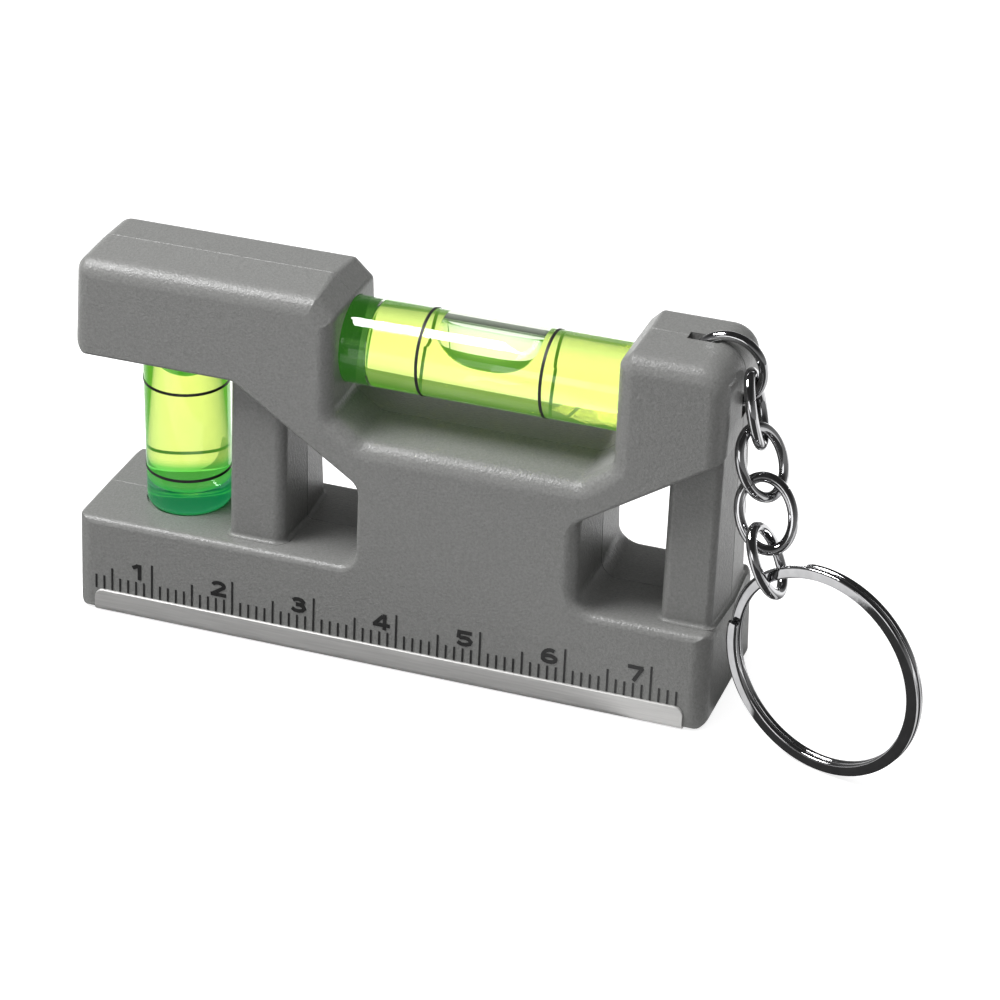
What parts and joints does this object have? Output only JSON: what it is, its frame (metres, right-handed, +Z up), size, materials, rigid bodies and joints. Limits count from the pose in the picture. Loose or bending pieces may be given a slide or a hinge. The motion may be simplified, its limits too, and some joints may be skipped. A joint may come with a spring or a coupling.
{
  "type": "magnetic pocket spirit level",
  "caption": "Pocket spirit level: moulded body with a magnetic steel base channel, a level vial, a plumb vial, a printed scale and a hanging key chain with a split ring.",
  "frame": {"origin": "middle of the base, on the underside of the steel channel", "axes": "+X along the base towards the key chain, +Z up, -Y towards the printed scale"},
  "size_m": [0.1013, 0.0262, 0.0447],
  "materials": {
    "body_plastic": "satin moulded, fine texture",
    "strip_steel": "rolled, zinc coated",
    "magnet": "dark ferrite",
    "vial_clear": "clear acrylic",
    "vial_plug": "gloss, tinted",
    "vial_liquid": "clear tinted liquid",
    "black_print": "printed",
    "chain_metal": "dark nickel plated"
  },
  "bodies": {
    "base": {"front_shell": "body_plastic", "rear_shell": "body_plastic", "steel_strip": "strip_steel", "magnet_bar": "magnet", "horizontal_barrel": "vial_clear", "horizontal_plug": "vial_plug", "horizontal_fluid": "vial_liquid", "horizontal_ring_left": "black_print", "horizontal_ring_right": "black_print", "vertical_barrel": "vial_clear", "vertical_plug": "vial_plug", "vertical_fluid": "vial_liquid", "vertical_ring_upper": "black_print", "vertical_ring_lower": "black_print", "scale_ticks": "black_print", "scale_numerals": "black_print"},
    "jump_ring": {"jump_ring": "chain_metal"},
    "chain_link_1": {"chain_link_1": "chain_metal"},
    "chain_link_2": {"chain_link_2": "chain_metal"},
    "chain_link_3": {"chain_link_3": "chain_metal"},
    "chain_link_4": {"chain_link_4": "chain_metal"},
    "split_ring": {"split_ring": "chain_metal"}
  },
  "joints": [
    {"name": "jump_ring_turn", "type": "hinge", "parent": "base", "child": "jump_ring", "pos_m": [0.0359, 0, 0.0402], "axis": [0, 1, 0], "range_deg": [-34, 0]},
    {"name": "link_1_swing", "type": "hinge", "parent": "jump_ring", "child": "chain_link_1", "pos_m": [0.0393, 0, 0.03823], "axis": [0.5, 0, 0.866], "range_deg": [-6, 12]},
    {"name": "link_2_swing", "type": "hinge", "parent": "chain_link_1", "child": "chain_link_2", "pos_m": [0.04047, -0.00421, 0.03517], "axis": [0.1911, 0.2855, -0.9391], "range_deg": [0, 4]},
    {"name": "link_3_swing", "type": "hinge", "parent": "chain_link_2", "child": "chain_link_3", "pos_m": [0.0406, -0.00551, 0.02937], "axis": [0.5277, 0.2822, -0.8012], "range_deg": [-5, 5]},
    {"name": "link_4_swing", "type": "hinge", "parent": "chain_link_3", "child": "chain_link_4", "pos_m": [0.04388, -0.0065, 0.02302], "axis": [0.8979, 0.3234, 0.2985], "range_deg": [-20, 8]},
    {"name": "split_ring_swing", "type": "hinge", "parent": "chain_link_4", "child": "split_ring", "pos_m": [0.04422, -0.01049, 0.0206], "axis": [0.3839, 0.4247, -0.8199], "range_deg": [-25, 15]}
  ]
}
